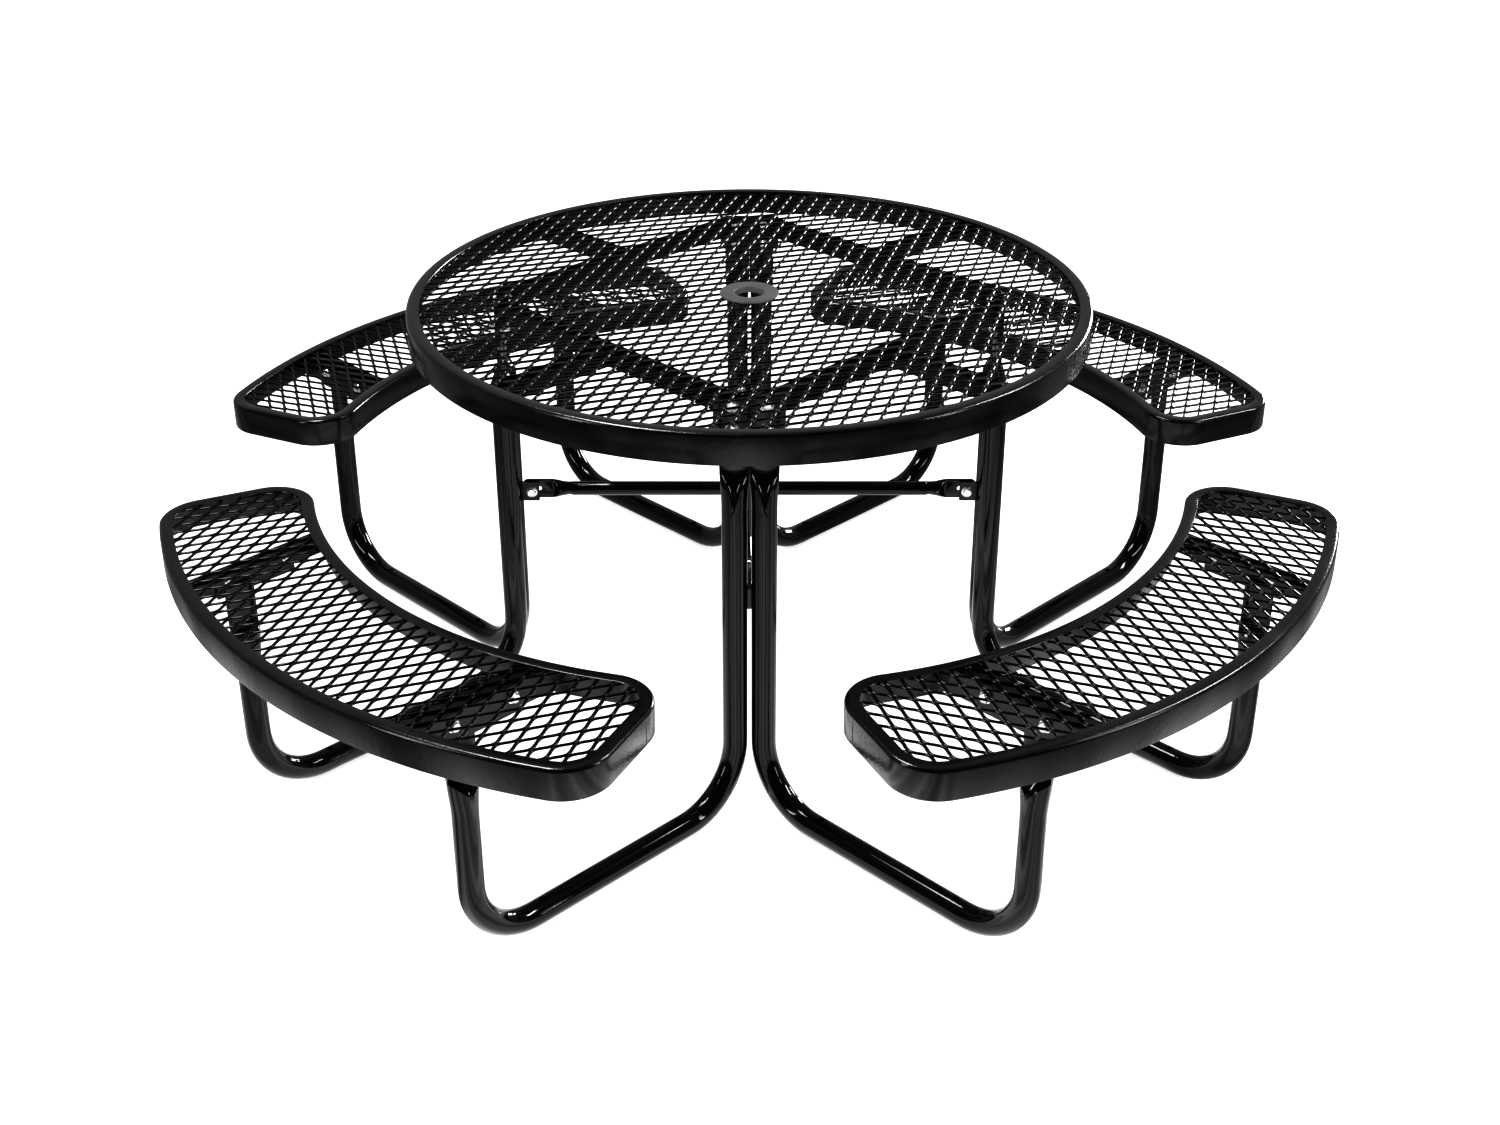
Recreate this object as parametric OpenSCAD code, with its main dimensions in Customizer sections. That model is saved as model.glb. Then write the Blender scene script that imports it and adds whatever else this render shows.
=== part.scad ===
// Four-seat round picnic table of expanded steel on bent tube legs.
// The centre of the table is the origin, the floor is z = 0, and the seats lie on the X and Y axes.

/* [Table top] */
// Outside diameter of the round top
table_d = 1168; // [1000:1:1300]
// Height of the top flange above the floor
table_h = 762; // [720:1:800]
// Depth of the rolled rims of the top and the seats
rim_depth = 51; // [40:1:60]
// Width of the flat flange round the mesh
flange_w = 22; // [18:1:28]
// Thickness of the rim sheet
sheet = 2.5; // [2:0.5:4]
// Outside radius of the rolled corner
rim_corner = 6; // [4:1:8]

/* [Expanded mesh] */
// Pitch along the long way of the diamond
mesh_long = 52.6; // [45:0.1:110]
// Pitch along the short way of the diamond
mesh_short = 29.9; // [26:0.1:62]
// Width of one strand
strand_w = 5.6; // [4:0.1:8]
// Thickness of the flattened mesh
mesh_t = 4; // [3:0.5:5]

/* [Umbrella collar] */
// Bore for the umbrella pole
pole_bore = 51; // [38:0.5:55]
// Outside diameter of the collar ring
collar_d = 102; // [90:1:120]
// Thickness of the collar ring
collar_t = 3; // [2:0.5:4]
// Wall of the sleeve under the ring
sleeve_wall = 3; // [2:0.5:4]
// Length of the sleeve below the ring
sleeve_l = 8; // [6:1:40]

/* [Bars under the top] */
// Distance of the square's bar centre lines from the middle
bar_square = 321; // [310:1:330]
// Width of a bar
bar_w = 25; // [20:1:30]
// Height of a bar
bar_h = 30; // [25:1:35]
// Wall of a bar
bar_wall = 2.5; // [2:0.5:3]
// Thickness of the corner plates and leg brackets
plate_t = 5; // [4:0.5:6]
// Width of a corner plate
corner_plate_w = 112; // [108:1:120]
// Height of a corner plate
corner_plate_h = 64; // [60:1:75]
// Depth of the socket holes in the bars, from the outer face of a corner plate
socket_l = 50; // [40:1:60]

/* [Legs] */
// Outside diameter of a leg tube
tube_d = 41; // [38:0.5:44]
// Wall of a leg tube
tube_wall = 2.5; // [2:0.5:3]
// Distance from the middle of the table to the middle of a pair of legs
pair_r = 432; // [428:1:436]
// Distance between the two tubes of a pair
pair_gap = 47; // [46:0.5:50]
// Distance from the middle of the table to the upright under a seat
seat_upright_r = 870; // [860:1:880]
// Centre-line radius of the tube bends
bend_r = 115; // [100:1:120]
// Length of the crimp from round to flat
crimp_l = 74; // [60:1:90]
// Thickness of a crushed tube end
crush_t = 8; // [6:0.5:10]
// Width of the crushed end under a seat
seat_crush_w = 52; // [46:1:58]
// Height at which the crimp to the table top starts
top_crimp_z = 567; // [540:1:600]
// Height at which the crimp to the seat starts
seat_crimp_z = 300; // [280:1:325]
// Distance of the outer anchor hole from the middle of the table
anchor_outer_r = 740; // [730:1:750]
// Distance of the inner anchor hole from the middle of the table
anchor_inner_r = 455; // [450:1:470]
// Diameter of the anchor holes
anchor_d = 10; // [8:0.5:12]

/* [Seats] */
// Height of the seats
seat_h = 457; // [440:1:470]
// Inner edge of the seat from the middle of the table
seat_inner_r = 764; // [755:1:770]
// Outer edge of the seat from the middle of the table
seat_outer_r = 1018; // [1010:1:1025]
// Half length of a seat, measured near its inner edge
seat_half_l = 528; // [515:1:540]
// Distance from the middle of the table at which the half length is measured
end_line_r = 780; // [770:1:790]
// Angle between a seat's end and the seat's axis
seat_end_angle = 20; // [15:1:24]
// Radius of a seat's corners
seat_corner_r = 74; // [60:1:80]
// Leg of the angle iron under a seat
angle_leg = 40; // [36:1:44]
// Thickness of the angle iron
angle_t = 4; // [3:0.5:5]
// Height of the bracket on a leg's end
bracket_h = 44; // [40:1:48]
// How far a bracket runs past its two bolts
bracket_margin = 18; // [14:1:20]
// Drop of a leg's end below the seat's bolts
leg_below_bolts = 14; // [12:1:18]

/* [Braces] */
// Diameter of the cross braces
brace_d = 25.4; // [22:0.1:28]
// Height of the lower cross brace
brace_z = 382.5; // [370:0.5:390]
// Distance of a brace's end bolt from the middle
brace_bolt_r = 393; // [390:1:395]
// Height of the flattened brace end
brace_flat_h = 37; // [32:1:38]
// Thickness of the flattened brace end
brace_flat_t = 5; // [4:0.5:6]
// Length of the flattened brace end
brace_flat_l = 54.5; // [50:0.5:60]
// Length of a brace's crimp from round to flat
brace_crimp_l = 26; // [20:1:32]
// Drop of a brace's end bolts below its centre line
brace_bolt_drop = 3; // [0:0.5:4]
// Distance between the two holes in a brace's end
spare_hole_pitch = 13; // [12:1:20]
// Width of the lug between two legs, outside the tubes
lug_reach = 32; // [28:1:34]
// Height of the lug
lug_h = 36; // [32:1:40]
// How far the lug runs past the middle of the tubes
lug_past_tubes = 5; // [0:1:10]

/* [Fasteners] */
// Bolt diameter
bolt_d = 9.5; // [8:0.5:10]
// Clearance hole for a bolt
bolt_hole_d = 10.5; // [10.2:0.1:11]
// Width across the flats of the bolt heads and nuts
hex_af = 14.3; // [13:0.1:16]
// Diameter of the washer face
washer_d = 21; // [18:1:24]
// Height of a bolt head
head_h = 6.5; // [5:0.5:8]
// Thickness of the washer face
washer_t = 2; // [1.5:0.5:3]
// Height of a nut
nut_h = 8; // [6:0.5:9]
// How far a bolt's end stands out of its nut
bolt_end = 3; // [1:0.5:5]
// Distance of the top bolts to either side of a pair's middle
top_bolt_side = 27; // [25:0.5:28]
// Heights of the two rows of top bolts, below the flange
top_bolt_drop = [20, 58]; // [15:1:60]
// Distances of a seat's two bolts from the middle of the table
seat_bolt_r = [782, 888]; // [780:1:895]
// Height of a seat's bolts below its flange
seat_bolt_drop = 24; // [22:1:26]

/* [Hidden] */
$fn = 96;
HULL_FN = 32;
SIDES = ["px", "py", "nx", "ny"];
HANDS = ["a", "b"];
PARTS_PER_SIDE = ["top_bar", "top_spoke", "corner_plate", "seat_rim", "seat_mesh", "brace_lug"];
PARTS_PER_LEG = ["leg", "seat_angle", "leg_bracket"];

table_r = table_d / 2;
mesh_top_z = table_h - sheet;
bar_top_z = mesh_top_z - mesh_t;
seat_mesh_top_z = seat_h - sheet;
angle_top_z = seat_mesh_top_z - mesh_t;
// Clearance left between pieces that don't touch.
clearance = 1;
leg_top_z = bar_top_z - clearance;

tube_r = tube_d / 2;
leg_r = (pair_r + pair_gap / 2) / sqrt(2);
leg_t = (pair_r - pair_gap / 2) / sqrt(2);
crush_w = pair_gap - clearance;
// A crimp starts this much larger than its round tube, and overlaps it by as much.
lip = 0.5;
// How far a cutter runs past the faces it opens.
cut = 1;
// Length of the cutter for a bolt hole, more than any stack of plates.
hole_reach = 4 * crush_t;

// Steps that stand for a seat rim's rolled corner.
corner_steps = 3;
// Openings keep this share of their short pitch away from a seat's rim.
closest_cell = 0.6;
end_slope = tan(seat_end_angle);

plate_outer_r = pair_r - crush_t / 2;
bracket_in_t = leg_t + crush_t / 2;
bracket_out_t = bracket_in_t + plate_t;
angle_out_t = bracket_out_t + angle_t;
bracket_top_z = angle_top_z - angle_t - clearance;
seat_bolt_z = seat_h - seat_bolt_drop;
seat_leg_top_z = seat_bolt_z - leg_below_bolts;

lug_t = pair_gap - tube_d;
brace_side = (lug_t + brace_flat_t) / 2;
// The upper brace crosses over the lower one.
brace_pitch_z = brace_d;
brace_reach = pair_r - tube_r - clearance;
spare_hole_r = brace_bolt_r - spare_hole_pitch;

STEEL = [0.06, 0.06, 0.065];
ZINC = [0.72, 0.73, 0.75];

// ---- shared shapes ----

// Rolled rim section: x is the distance in from the outer face, y the height above the lower edge.
module rim_section() {
    difference() {
        union() {
            square([sheet, rim_depth - rim_corner]);
            translate([rim_corner, rim_depth - sheet]) square([flange_w - rim_corner, sheet]);
            intersection() {
                translate([rim_corner, rim_depth - rim_corner]) circle(rim_corner);
                translate([0, rim_depth - rim_corner]) square(rim_corner);
            }
        }
        translate([rim_corner, rim_depth - rim_corner]) circle(rim_corner - sheet);
    }
}

// One diamond opening of the mesh, long way along x.
module diamond() {
    half_long = mesh_long / 2;
    half_short = mesh_short / 2;
    edge_distance = half_long * half_short / norm([half_long, half_short]);
    open = 1 - strand_w / 2 / edge_distance;
    reach_long = half_long * open;
    reach_short = half_short * open;
    polygon([[reach_long, 0], [0, reach_short], [-reach_long, 0], [0, -reach_short]]);
}

// Centre of a diamond in the staggered rows.
function cell(i, j) = [i * mesh_long / 2, (j + (i % 2 == 0 ? 0 : 0.5)) * mesh_short];

module hex_prism(height) cylinder(d = hex_af / cos(30), h = height, $fn = 6);

// A bolt along +x, its washer face at x = 0 bearing on the joint, gripping a stack of the given thickness.
module bolt(grip) rotate([0, 90, 0]) {
    translate([0, 0, -washer_t]) cylinder(d = washer_d, h = washer_t);
    translate([0, 0, -washer_t - head_h]) hex_prism(head_h);
    cylinder(d = bolt_d, h = grip + nut_h + bolt_end);
}

// The bolt's nut, seated on the far face of the stack.
module nut(grip) translate([grip, 0, 0]) rotate([0, 90, 0]) difference() {
    hex_prism(nut_h);
    translate([0, 0, -cut]) cylinder(d = bolt_d, h = nut_h + 2 * cut);
}

// A hole along x through everything near the origin.
module x_hole(d) rotate([0, 90, 0]) cylinder(d = d, h = hole_reach, center = true);

// ---- table top ----

module top_rim() color(STEEL) translate([0, 0, table_h - rim_depth])
    rotate_extrude() translate([table_r, 0]) mirror([1, 0]) rim_section();

module top_mesh() color(STEEL) translate([0, 0, bar_top_z]) linear_extrude(mesh_t) difference() {
    edge_r = table_r - sheet;
    hub_r = pole_bore / 2 + sleeve_wall;
    n = ceil(2 * table_r / mesh_short);
    circle(edge_r);
    circle(hub_r);
    rotate(90) for (i = [-n:n], j = [-n:n]) {
        at = cell(i, j);
        if (norm(at) < edge_r - mesh_short && norm(at) > hub_r + mesh_long / 2) translate(at) diamond();
    }
}

module umbrella_collar() color(STEEL) difference() {
    union() {
        translate([0, 0, mesh_top_z]) cylinder(d = collar_d, h = collar_t);
        translate([0, 0, mesh_top_z - sleeve_l]) cylinder(d = pole_bore + 2 * sleeve_wall, h = sleeve_l);
    }
    translate([0, 0, mesh_top_z - sleeve_l - cut])
        cylinder(d = pole_bore, h = sleeve_l + collar_t + 2 * cut);
}

module hollow_bar(length) rotate([90, 0, 90]) linear_extrude(length) difference() {
    square([bar_w, bar_h], center = true);
    square([bar_w - 2 * bar_wall, bar_h - 2 * bar_wall], center = true);
}

// One side of the square, cut off at both ends by the corner plates' inner faces,
// with holes through its inner wall that let a socket reach the upper nuts.
module top_bar() color(STEEL) difference() {
    half_l = bar_square + bar_w;
    plate_inner_r = plate_outer_r - plate_t;
    intersection() {
        translate([bar_square, 0, bar_top_z - bar_h / 2]) rotate(90) translate([-half_l, 0, 0])
            hollow_bar(2 * half_l);
        rotate(45) translate([0, 0, bar_top_z - bar_h / 2])
            cube([2 * plate_inner_r, 2 * plate_inner_r, bar_h], center = true);
    }
    for (corner = [-45, 45]) rotate(corner) top_bolt_places() rotate([0, -90, 0])
        cylinder(d = washer_d, h = socket_l);
}

module top_spoke() {
    start = bar_square + bar_w / 2;
    color(STEEL) intersection() {
        translate([start, 0, bar_top_z - bar_h / 2]) hollow_bar(table_r - start);
        translate([0, 0, bar_top_z - bar_h]) cylinder(r = table_r - sheet, h = bar_h);
    }
}

// The plate that joins two bars of the square, across the diagonal at 45 degrees.
module corner_plate() color(STEEL) rotate(45) difference() {
    translate([plate_outer_r - plate_t, -corner_plate_w / 2, bar_top_z - corner_plate_h])
        cube([plate_t, corner_plate_w, corner_plate_h]);
    top_bolt_places() x_hole(bolt_hole_d);
}

// The four bolts of one pair, with x along the diagonal.
module top_bolt_places() for (side = [-1, 1], drop = top_bolt_drop)
    translate([plate_outer_r, side * top_bolt_side, table_h - drop]) children();

// ---- legs ----

module tube(length) difference() {
    cylinder(r = tube_r, h = length);
    translate([0, 0, -cut]) cylinder(r = tube_r - tube_wall, h = length + 2 * cut);
}

// A quarter bend in the xz plane, from +x round to +z about the origin.
module elbow() rotate([90, 0, 0]) rotate_extrude(angle = 90) translate([bend_r, 0]) difference() {
    circle(tube_r);
    circle(tube_r - tube_wall);
}

// A round tube crimped to a flat end of the given width and height. The flat lies across y.
module crimped_end(flat_w, flat_h) {
    hull() {
        translate([0, 0, -lip]) cylinder(r = tube_r + lip, h = lip, $fn = HULL_FN);
        translate([-crush_t / 2, -flat_w / 2, crimp_l - lip]) cube([crush_t, flat_w, lip]);
    }
    translate([-crush_t / 2, -flat_w / 2, crimp_l]) cube([crush_t, flat_w, flat_h]);
}

// One leg: down from the corner plate, along the floor beside the seat's axis and up to the seat.
module leg() {
    run_z = tube_r;
    bend_z = run_z + bend_r;
    top_crimp_end = top_crimp_z + crimp_l;
    seat_crimp_end = seat_crimp_z + crimp_l;
    color(STEEL) difference() {
        union() {
            translate([leg_r, leg_t, bend_z]) tube(top_crimp_z - bend_z);
            translate([leg_r, leg_t, top_crimp_z]) rotate(45)
                crimped_end(crush_w, leg_top_z - top_crimp_end);
            translate([leg_r + bend_r, leg_t, bend_z]) rotate([0, 180, 0]) elbow();
            translate([leg_r + bend_r, leg_t, run_z]) rotate([0, 90, 0])
                tube(seat_upright_r - leg_r - 2 * bend_r);
            translate([seat_upright_r - bend_r, leg_t, bend_z]) rotate([0, 90, 0]) elbow();
            translate([seat_upright_r, leg_t, bend_z]) tube(seat_crimp_z - bend_z);
            translate([seat_upright_r, leg_t, seat_crimp_z]) rotate(90)
                crimped_end(seat_crush_w, seat_leg_top_z - seat_crimp_end);
        }
        for (r = [anchor_inner_r, anchor_outer_r])
            translate([r, leg_t, -cut]) cylinder(d = anchor_d, h = tube_d + 2 * cut);
        rotate(45) top_bolt_places() x_hole(bolt_hole_d);
    }
}

// Upright plate on a leg's seat end, bolted to the angle iron.
module leg_bracket() color(STEEL) difference() {
    translate([seat_bolt_r[0] - bracket_margin, bracket_in_t, bracket_top_z - bracket_h])
        cube([seat_bolt_r[1] - seat_bolt_r[0] + 2 * bracket_margin, plate_t, bracket_h]);
    seat_bolt_places() x_hole(bolt_hole_d);
}

// The two bolts of one seat angle, pointing out along +x of the bolt, which is -y of the seat.
module seat_bolt_places() for (r = seat_bolt_r)
    translate([r, angle_out_t, seat_bolt_z]) rotate(-90) children();

// ---- seats ----

// Where the end line, moved in by an amount, crosses a circle about the table's centre.
function end_line_cross(radius, inset) =
    let (t0 = seat_half_l - inset / cos(seat_end_angle) - end_slope * end_line_r,
         a = 1 + end_slope * end_slope,
         b = 2 * end_slope * t0,
         c = t0 * t0 - radius * radius,
         r = (-b + sqrt(b * b - 4 * a * c)) / (2 * a))
    [r, t0 + end_slope * r];

outer_corner = end_line_cross(seat_outer_r - seat_corner_r, seat_corner_r);
inner_corner = end_line_cross(seat_inner_r + seat_corner_r, seat_corner_r);
outer_corner_a = atan2(outer_corner[1], outer_corner[0]);
inner_corner_a = atan2(inner_corner[1], inner_corner[0]);
end_normal_a = 90 + seat_end_angle;

// A wedge with its point at the origin, from one angle to another.
module sector(radius, from, to) {
    steps = 4;
    step = (to - from) / steps;
    outer = radius / cos(step / 2);
    arc = [for (k = [0:steps]) outer * [cos(from + k * step), sin(from + k * step)]];
    polygon(concat([[0, 0]], arc));
}

// A rim of the seat's plan: an upright wall, a corner rolled in steps, and the flat flange.
module seat_rim() color(STEEL) translate([0, 0, seat_h - rim_depth]) {
    step = rim_corner / corner_steps;
    band(0, rim_depth - rim_corner, 0, sheet);
    for (k = [0:corner_steps - 2]) {
        out = rim_corner - sqrt(rim_corner * rim_corner - pow((k + 1) * step, 2));
        band(rim_depth - rim_corner + k * step, step, out, out + sheet + step);
    }
    band(rim_depth - sheet, sheet, rim_corner / 2, flange_w);
}

// A flat band of the seat's plan between two insets.
module band(z, height, outer, inner) translate([0, 0, z]) linear_extrude(height) difference() {
    seat_plan(outer);
    seat_plan(inner);
}

// The seat's plan, moved in by an amount.
module seat_plan(inset) {
    difference() {
        intersection() {
            circle(seat_outer_r - inset);
            half_plan(inset);
        }
        circle(seat_inner_r + inset);
        for (side = [0, 1]) mirror([0, side]) corner_waste(inset);
    }
}

// The wedge between a seat's two end lines.
module half_plan(inset) {
    t0 = seat_half_l - inset / cos(seat_end_angle) - end_slope * end_line_r;
    far = 2 * seat_outer_r;
    polygon([[0, t0], [far, t0 + end_slope * far], [far, -t0 - end_slope * far], [0, -t0]]);
}

// What a seat's rounded corners take off its sharp ones.
module corner_waste(inset) {
    big = 3 * seat_corner_r;
    difference() {
        translate(outer_corner) sector(big, outer_corner_a, end_normal_a);
        translate(outer_corner) circle(seat_corner_r - inset);
    }
    difference() {
        translate(inner_corner) sector(big, end_normal_a, inner_corner_a + 180);
        translate(inner_corner) circle(seat_corner_r - inset);
    }
}

// Whether a point is inside the seat's plan by a margin, corners included.
function in_seat(at, margin) =
    let (r = norm(at), t = abs(at[1]),
         line = (seat_half_l + end_slope * (at[0] - end_line_r) - t) * cos(seat_end_angle))
    r < seat_outer_r - margin && r > seat_inner_r + margin && line > margin
    && in_corner(at[0], t, outer_corner, outer_corner_a, end_normal_a, margin)
    && in_corner(at[0], t, inner_corner, end_normal_a, inner_corner_a + 180, margin);

function in_corner(x, t, corner, from, to, margin) =
    let (d = [x, t] - corner, a = (atan2(d[1], d[0]) + 360) % 360)
    a < from || a > to || norm(d) < seat_corner_r - margin;

module seat_mesh() color(STEEL) translate([0, 0, angle_top_z]) linear_extrude(mesh_t) difference() {
    middle = (seat_inner_r + seat_outer_r) / 2;
    margin = sheet + closest_cell * mesh_short;
    rows = ceil((seat_outer_r - seat_inner_r + seat_half_l / 2) / mesh_long);
    columns = ceil(seat_half_l / mesh_short);
    seat_plan(sheet);
    for (i = [-2 * rows:2 * rows], j = [-columns - 1:columns]) {
        at = [middle, 0] + cell(i, j);
        if (in_seat(at, margin)) translate(at) diamond();
    }
}

// Angle iron across the seat, its upright flange outside the leg bracket.
module seat_angle() color(STEEL) difference() {
    intersection() {
        translate([0, angle_out_t, angle_top_z]) rotate([90, 0, 90]) linear_extrude(seat_outer_r) union() {
            translate([-angle_t, -angle_leg]) square([angle_t, angle_leg]);
            translate([-angle_leg, -angle_t]) square([angle_leg, angle_t]);
        }
        translate([0, 0, angle_top_z - angle_leg]) linear_extrude(angle_leg) difference() {
            circle(seat_outer_r - sheet);
            circle(seat_inner_r + sheet);
        }
    }
    seat_bolt_places() x_hole(bolt_hole_d);
}

// ---- braces ----

// A brace along x between two lugs, with a flat tip at each end.
module brace() {
    round_half = brace_reach - brace_flat_l - brace_crimp_l;
    color(STEEL) {
        difference() {
            rotate([0, 90, 0]) cylinder(d = brace_d, h = 2 * round_half, center = true);
            rotate([0, 90, 0])
                cylinder(d = brace_d - 2 * bar_wall, h = 2 * (round_half - lip), center = true);
        }
        for (end = [0, 1]) mirror([end, 0, 0]) {
            hull() {
                translate([round_half - lip, 0, 0]) rotate([0, 90, 0])
                    cylinder(r = brace_d / 2 + lip, h = lip, $fn = HULL_FN);
                translate([round_half + brace_crimp_l - lip, -brace_flat_t / 2, -brace_flat_h / 2])
                    cube([lip, brace_flat_t, brace_flat_h]);
            }
            brace_tip_plate();
        }
    }
}

// The flat end of a brace, round at the tip, with the bolt hole and a spare hole.
module brace_tip_plate() {
    start = brace_reach - brace_flat_l;
    tip_r = brace_flat_h / 2;
    tip_x = brace_reach - tip_r;
    rotate([90, 0, 0]) translate([0, 0, -brace_flat_t / 2]) linear_extrude(brace_flat_t) difference() {
        union() {
            translate([start, -tip_r]) square([tip_x - start, brace_flat_h]);
            intersection() {
                translate([tip_x, 0]) circle(tip_r);
                translate([tip_x, -tip_r]) square([tip_r, brace_flat_h]);
            }
        }
        translate([brace_bolt_r, -brace_bolt_drop]) circle(d = bolt_hole_d);
        translate([spare_hole_r, 0]) circle(d = bolt_hole_d);
    }
}

// A brace on one diagonal, beside the lugs of its two pairs of legs.
module on_diagonal(angle, z) translate([0, 0, z]) rotate(angle) translate([0, brace_side, 0]) children();

module brace_lower() on_diagonal(45, brace_z) brace();
module brace_upper() on_diagonal(135, brace_z + brace_pitch_z) brace();

// Height of the bolts of the k-th pair of legs, counted round from the one at 45 degrees.
function brace_bolt_z(k) = brace_z - brace_bolt_drop + (k % 2) * brace_pitch_z;

// Lug between the two tubes of the pair on the diagonal at 45 degrees.
module brace_lug(z) color(STEEL) rotate(45) translate([0, 0, z]) difference() {
    translate([pair_r - tube_r - lug_reach, -lug_t / 2, -lug_h / 2])
        cube([lug_reach + tube_r + lug_past_tubes, lug_t, lug_h]);
    translate([brace_bolt_r, 0, 0]) rotate([90, 0, 0])
        cylinder(d = bolt_hole_d, h = 2 * lug_t, center = true);
}

// ---- fasteners, as groups ----

top_grip = crush_t + plate_t;
seat_grip = angle_t + plate_t;
brace_grip = lug_t + brace_flat_t;

module all_top_bolts() for (k = [0:3]) rotate(45 + 90 * k) top_bolt_places()
    translate([crush_t, 0, 0]) rotate(180) children();

module all_seat_bolts() for (k = [0:3], hand = [0, 1]) rotate(90 * k) mirror([0, hand, 0])
    seat_bolt_places() children();

module all_brace_bolts() for (k = [0:3]) rotate(45 + 90 * k)
    translate([brace_bolt_r, 0, brace_bolt_z(k)])
        mirror([0, k > 1 ? 1 : 0, 0]) translate([0, -lug_t / 2, 0]) rotate(90) children();

// ---- the named pieces ----

module on_side(k) rotate(90 * k) children();
module on_hand(h) mirror([0, h, 0]) children();

top_rim();
top_mesh();
umbrella_collar();
brace_lower();
brace_upper();
for (k = [0:3]) {
    on_side(k) top_bar();
    on_side(k) top_spoke();
    on_side(k) corner_plate();
    on_side(k) seat_rim();
    on_side(k) seat_mesh();
    on_side(k) brace_lug(brace_bolt_z(k));
    for (h = [0:1]) {
        on_side(k) on_hand(h) leg();
        on_side(k) on_hand(h) seat_angle();
        on_side(k) on_hand(h) leg_bracket();
    }
}
color(ZINC) all_top_bolts() bolt(top_grip);  // top_bolts
color(ZINC) all_top_bolts() nut(top_grip);  // top_nuts
color(ZINC) all_seat_bolts() bolt(seat_grip);  // seat_bolts
color(ZINC) all_seat_bolts() nut(seat_grip);  // seat_nuts
color(ZINC) all_brace_bolts() bolt(brace_grip);  // brace_bolts
color(ZINC) all_brace_bolts() nut(brace_grip);  // brace_nuts
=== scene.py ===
import math

import bpy
from mathutils import Matrix, Vector

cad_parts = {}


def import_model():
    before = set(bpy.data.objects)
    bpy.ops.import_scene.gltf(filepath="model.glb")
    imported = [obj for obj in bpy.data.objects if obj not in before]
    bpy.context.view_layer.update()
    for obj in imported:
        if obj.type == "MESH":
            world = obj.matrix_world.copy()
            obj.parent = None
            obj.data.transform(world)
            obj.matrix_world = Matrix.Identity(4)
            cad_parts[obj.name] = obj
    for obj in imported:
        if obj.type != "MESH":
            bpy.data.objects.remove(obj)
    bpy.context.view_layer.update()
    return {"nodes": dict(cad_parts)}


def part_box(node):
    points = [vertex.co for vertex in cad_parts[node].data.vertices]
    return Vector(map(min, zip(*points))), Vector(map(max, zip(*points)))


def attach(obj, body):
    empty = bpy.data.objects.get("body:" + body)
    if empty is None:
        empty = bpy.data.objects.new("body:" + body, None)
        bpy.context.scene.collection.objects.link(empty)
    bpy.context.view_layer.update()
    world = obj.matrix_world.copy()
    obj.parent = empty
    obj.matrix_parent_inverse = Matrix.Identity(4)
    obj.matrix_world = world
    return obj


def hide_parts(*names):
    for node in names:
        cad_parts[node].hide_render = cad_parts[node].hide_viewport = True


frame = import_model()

# ---- driving sizes, in metres ----

SIDES = ["px", "py", "nx", "ny"]
HANDS = ["a", "b"]

SHEET = 0.0025
FLANGE_W = 0.022
RIM_CORNER = 0.006

MESH_LONG = 0.0526
MESH_SHORT = 0.0299
STRAND_W = 0.0056
STRAND_SIDES = 8
RINGS_PER_PITCH = 12
# The strands' coating is this much larger than the bare strand, and runs together this far at the bonds.
COATED = 1.04
BOND_OVERLAP = 0.0003

POLE_BORE_R = 0.0255
SLEEVE_WALL = 0.003

TUBE_R = 0.0205
PAIR_R = 0.432
PAIR_GAP = 0.047
SEAT_UPRIGHT_R = 0.870
BEND_R = 0.115
CRIMP_L = 0.074
CRUSH_T = 0.008
CRUSH_W = 0.0468
SEAT_CRUSH_W = 0.052
TOP_CRIMP_Z = 0.567
TOP_CRIMP_LEAD = 0.03
SEAT_WIDEN_Z = 0.262
SEAT_CRIMP_Z = 0.305
SEAT_CRIMP_L = 0.052
SEAT_LEG_BELOW_ANGLE = 0.0315
ANCHOR_R = 0.005
ANCHORS = [0.455, 0.740]

SEAT_INNER_R = 0.764
SEAT_OUTER_R = 1.018
SEAT_HALF_L = 0.528
SEAT_END_ANGLE = math.radians(20)
SEAT_CORNER_R = 0.074
END_LINE_R = 0.780

# Where the rims' welds are: degrees round the top, and past the seat's inner corner.
TOP_WELDS = [-108, 18]
SEAT_WELD_PAST_CORNER = 0.008
WELD_FOOT = 0.001

BRACE_R = 0.0127
BRACE_FLAT_T = 0.005
BRACE_FLAT_L = 0.052
BRACE_CRIMP_L = 0.026
# The last plainly round section of a brace is this far before its crimp.
BRACE_ROUND_END = 0.012
BRACE_TIP_CORNER = 0.010
# A brace's box, taken at its corner, reaches this far past the brace's tip.
BRACE_BOX_PAST_TIP = 0.004
BRACE_BOLT_R = 0.393
SPARE_HOLE_R = 0.380
BOLT_HOLE_R = 0.00525

BOLT_R = 0.00475
HEX_AF = 0.0143
WASHER_R = 0.0105
WASHER_T = 0.002
HEAD_H = 0.0065
NUT_H = 0.008
BOLT_END = 0.003
THREAD_PITCH = 0.0008
THREAD_DEPTH = 0.0004
THREAD_RUNOUT = 0.0009
PLATE_T = 0.005
ANGLE_T = 0.004
EASED_EDGE = 0.0008
FLOOR_HALF = 40
TOP_BOLT_SIDE = 0.027
TOP_BOLT_DROPS = [0.020, 0.058]
SEAT_BOLT_RS = [0.782, 0.888]
SEAT_BOLT_DROP = 0.024

# Points round a bolt head, a nut or a drilled hole.
HEX_POINTS = 24
# Points round a tube's section, and how many of them make up the folded side of a crimp.
RING_POINTS = 48
DENT_POINTS = 20
# Depth of the groove along a crimp's fold, as a share of the tube's radius.
GROOVE = 0.16
SEAT_GROOVE = 0.42
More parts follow.
